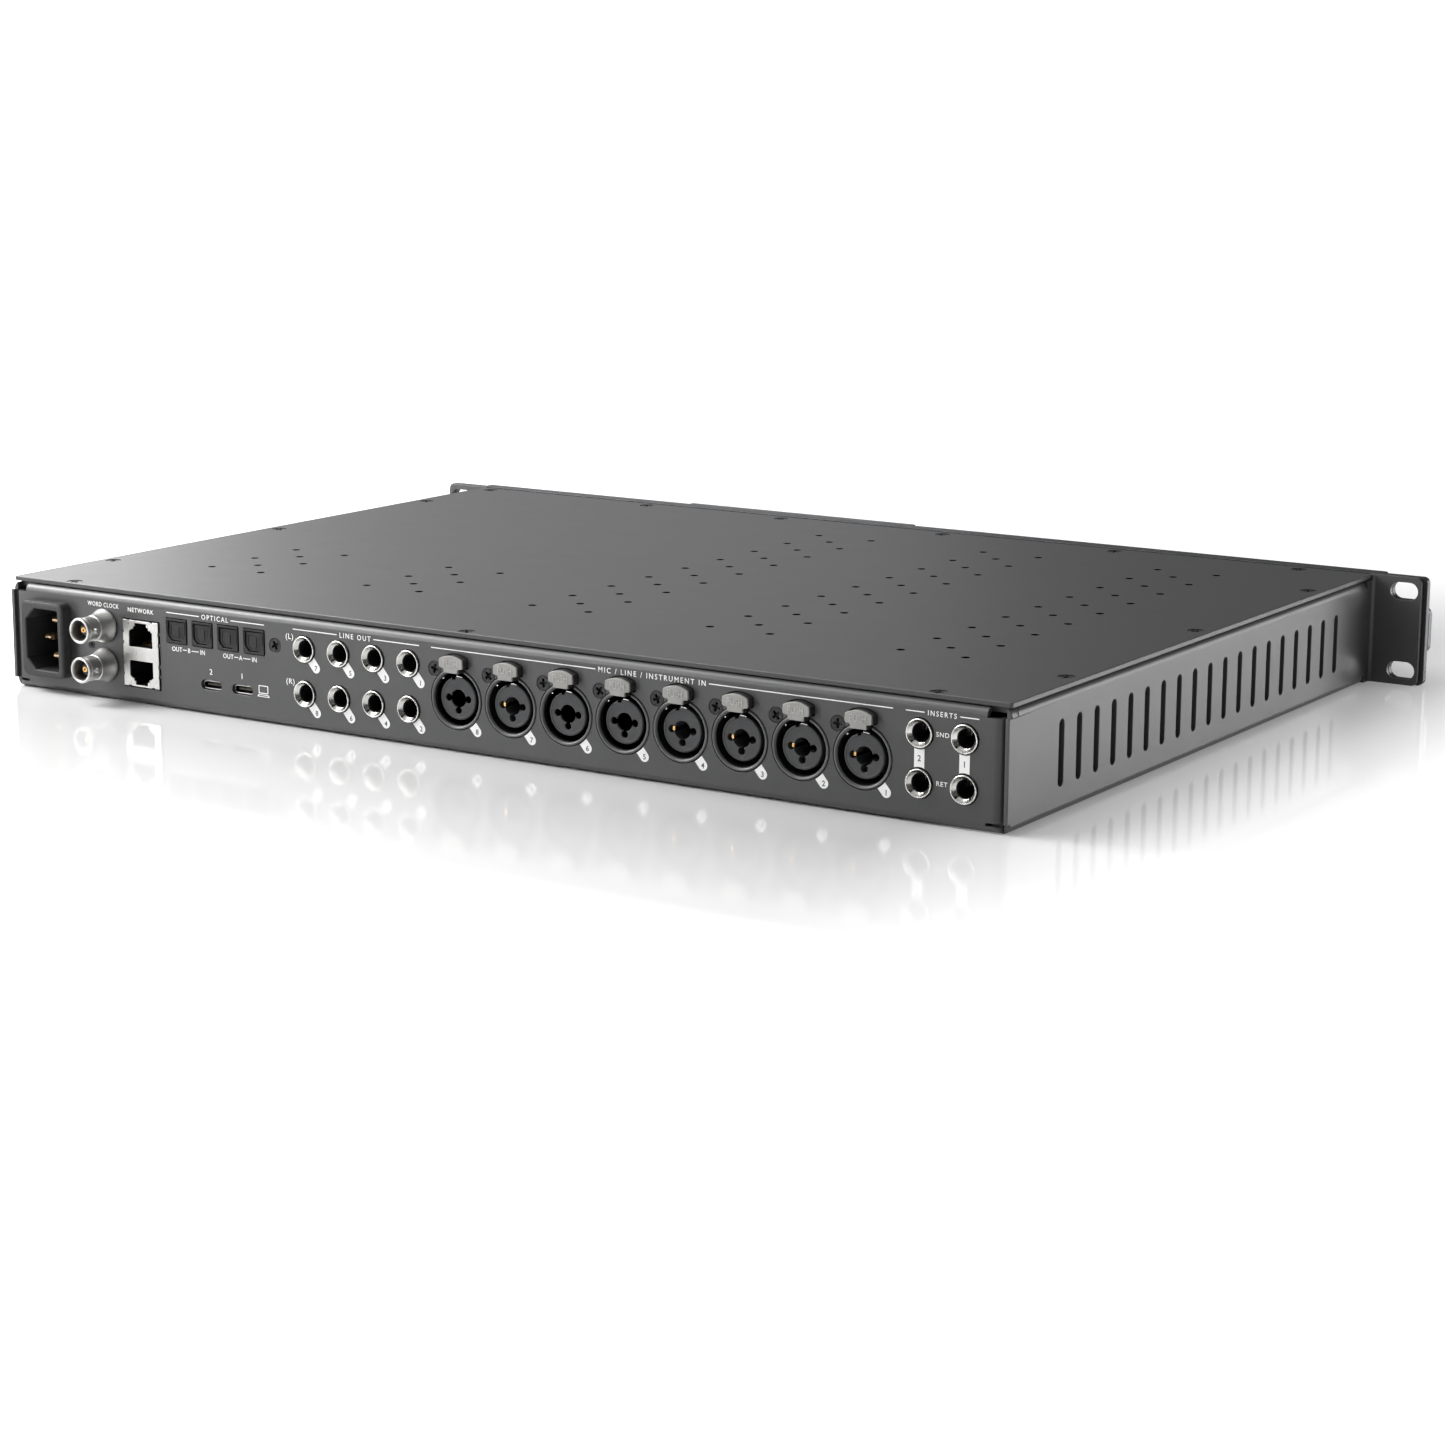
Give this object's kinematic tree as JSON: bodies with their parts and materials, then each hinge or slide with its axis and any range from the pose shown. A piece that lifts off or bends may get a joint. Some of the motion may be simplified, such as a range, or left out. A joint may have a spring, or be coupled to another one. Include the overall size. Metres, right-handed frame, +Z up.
{
  "type": "microphone preamp",
  "caption": "Rack-mount microphone preamp, one unit high: folded steel case with side and top vents, slotted ears, combined inputs, line, optical, clock and network sockets, knob and display.",
  "frame": {"origin": "centre of the overall box, at the level of the tray's underside", "axes": "+X to the right as seen from the front, +Y from the front to the rear, +Z up"},
  "size_m": [0.4826, 0.3454, 0.0434],
  "materials": {
    "paint": "satin dark grey powder coat",
    "anodised": "dark anodised",
    "zinc": "zinc plated",
    "nickel": "satin nickel plate",
    "brass": "bright",
    "knob_metal": "turned and knurled",
    "black_plastic": "fine moulded texture",
    "dark_plastic": "satin moulded",
    "latch_plastic": "satin, warm grey",
    "window": "smoked and polished",
    "screw": "blackened",
    "print": "white screen print",
    "board": "solder mask"
  },
  "bodies": {
    "chassis": {"chassis_tray": "paint", "rear_panel": "paint", "top_cover": "paint", "front_rail": "zinc", "front_plate": "anodised", "front_fascia": "anodised", "display_bezel": "anodised", "display_window": "window", "display_module": "black_plastic", "front_board": "board", "level_encoder": "zinc", "phones_jack_1": "nickel", "phones_jack_2": "nickel", "network_jack": "nickel", "iec_inlet": "black_plastic", "iec_contacts": "brass", "main_board": "board", "preamp_board": "board", "power_supply": "board", "line_out_jack_1": "nickel", "optical_jack_1": "black_plastic", "line_out_jack_2": "nickel", "optical_jack_2": "black_plastic", "line_out_jack_3": "nickel", "optical_jack_3": "black_plastic", "line_out_jack_4": "nickel", "optical_jack_4": "black_plastic", "combo_jack_1": "black_plastic", "combo_jack_2": "black_plastic", "combo_jack_3": "black_plastic", "combo_jack_4": "black_plastic", "combo_jack_5": "black_plastic", "combo_jack_6": "black_plastic", "combo_jack_7": "black_plastic", "combo_jack_8": "black_plastic", "insert_jack_1": "nickel", "usb_c_jack_1": "nickel", "bnc_jack_1": "nickel", "insert_jack_2": "nickel", "usb_c_jack_2": "nickel", "bnc_jack_2": "nickel"},
    "latch_1": {"combo_latch_1": "latch_plastic"},
    "latch_2": {"combo_latch_2": "latch_plastic"},
    "latch_3": {"combo_latch_3": "latch_plastic"},
    "latch_4": {"combo_latch_4": "latch_plastic"},
    "latch_5": {"combo_latch_5": "latch_plastic"},
    "latch_6": {"combo_latch_6": "latch_plastic"},
    "latch_7": {"combo_latch_7": "latch_plastic"},
    "latch_8": {"combo_latch_8": "latch_plastic"},
    "shutter_1": {"optical_shutter_1": "dark_plastic"},
    "shutter_2": {"optical_shutter_2": "dark_plastic"},
    "shutter_3": {"optical_shutter_3": "dark_plastic"},
    "shutter_4": {"optical_shutter_4": "dark_plastic"},
    "button_1": {"function_button_1": "dark_plastic"},
    "button_2": {"function_button_2": "dark_plastic"},
    "button_3": {"function_button_3": "dark_plastic"},
    "button_4": {"function_button_4": "dark_plastic"},
    "power": {"power_button": "nickel"},
    "knob": {"level_knob": "knob_metal", "encoder_shaft": "nickel"}
  },
  "joints": [
    {"name": "latch_1_push", "type": "slide", "parent": "chassis", "child": "latch_1", "axis": [0, -1, 0], "range_m": [0, 0.0015], "stiffness_N_per_m": 900},
    {"name": "latch_2_push", "type": "slide", "parent": "chassis", "child": "latch_2", "axis": [0, -1, 0], "range_m": [0, 0.0015], "stiffness_N_per_m": 900},
    {"name": "latch_3_push", "type": "slide", "parent": "chassis", "child": "latch_3", "axis": [0, -1, 0], "range_m": [0, 0.0015], "stiffness_N_per_m": 900},
    {"name": "latch_4_push", "type": "slide", "parent": "chassis", "child": "latch_4", "axis": [0, -1, 0], "range_m": [0, 0.0015], "stiffness_N_per_m": 900},
    {"name": "latch_5_push", "type": "slide", "parent": "chassis", "child": "latch_5", "axis": [0, -1, 0], "range_m": [0, 0.0015], "stiffness_N_per_m": 900},
    {"name": "latch_6_push", "type": "slide", "parent": "chassis", "child": "latch_6", "axis": [0, -1, 0], "range_m": [0, 0.0015], "stiffness_N_per_m": 900},
    {"name": "latch_7_push", "type": "slide", "parent": "chassis", "child": "latch_7", "axis": [0, -1, 0], "range_m": [0, 0.0015], "stiffness_N_per_m": 900},
    {"name": "latch_8_push", "type": "slide", "parent": "chassis", "child": "latch_8", "axis": [0, -1, 0], "range_m": [0, 0.0015], "stiffness_N_per_m": 900},
    {"name": "shutter_1_swing", "type": "hinge", "parent": "chassis", "child": "shutter_1", "pos_m": [0.09555, 0.15825, 0.03345], "axis": [-1, 0, 0], "range_deg": [0, 80], "stiffness_Nm_per_rad": 0.0006},
    {"name": "shutter_2_swing", "type": "hinge", "parent": "chassis", "child": "shutter_2", "pos_m": [0.10825, 0.15825, 0.03345], "axis": [-1, 0, 0], "range_deg": [0, 80], "stiffness_Nm_per_rad": 0.0006},
    {"name": "shutter_3_swing", "type": "hinge", "parent": "chassis", "child": "shutter_3", "pos_m": [0.12095, 0.15825, 0.03345], "axis": [-1, 0, 0], "range_deg": [0, 80], "stiffness_Nm_per_rad": 0.0006},
    {"name": "shutter_4_swing", "type": "hinge", "parent": "chassis", "child": "shutter_4", "pos_m": [0.13365, 0.15825, 0.03345], "axis": [-1, 0, 0], "range_deg": [0, 80], "stiffness_Nm_per_rad": 0.0006},
    {"name": "button_1_press", "type": "slide", "parent": "chassis", "child": "button_1", "axis": [0, 1, 0], "range_m": [0, 0.0008], "stiffness_N_per_m": 1200},
    {"name": "button_2_press", "type": "slide", "parent": "chassis", "child": "button_2", "axis": [0, 1, 0], "range_m": [0, 0.0008], "stiffness_N_per_m": 1200},
    {"name": "button_3_press", "type": "slide", "parent": "chassis", "child": "button_3", "axis": [0, 1, 0], "range_m": [0, 0.0008], "stiffness_N_per_m": 1200},
    {"name": "button_4_press", "type": "slide", "parent": "chassis", "child": "button_4", "axis": [0, 1, 0], "range_m": [0, 0.0008], "stiffness_N_per_m": 1200},
    {"name": "power_press", "type": "slide", "parent": "chassis", "child": "power", "axis": [0, 1, 0], "range_m": [0, 0.0015], "stiffness_N_per_m": 900},
    {"name": "knob_turn", "type": "hinge", "parent": "chassis", "child": "knob", "pos_m": [0.158, -0.16685, 0.02175], "axis": [0, -1, 0], "continuous": true}
  ]
}
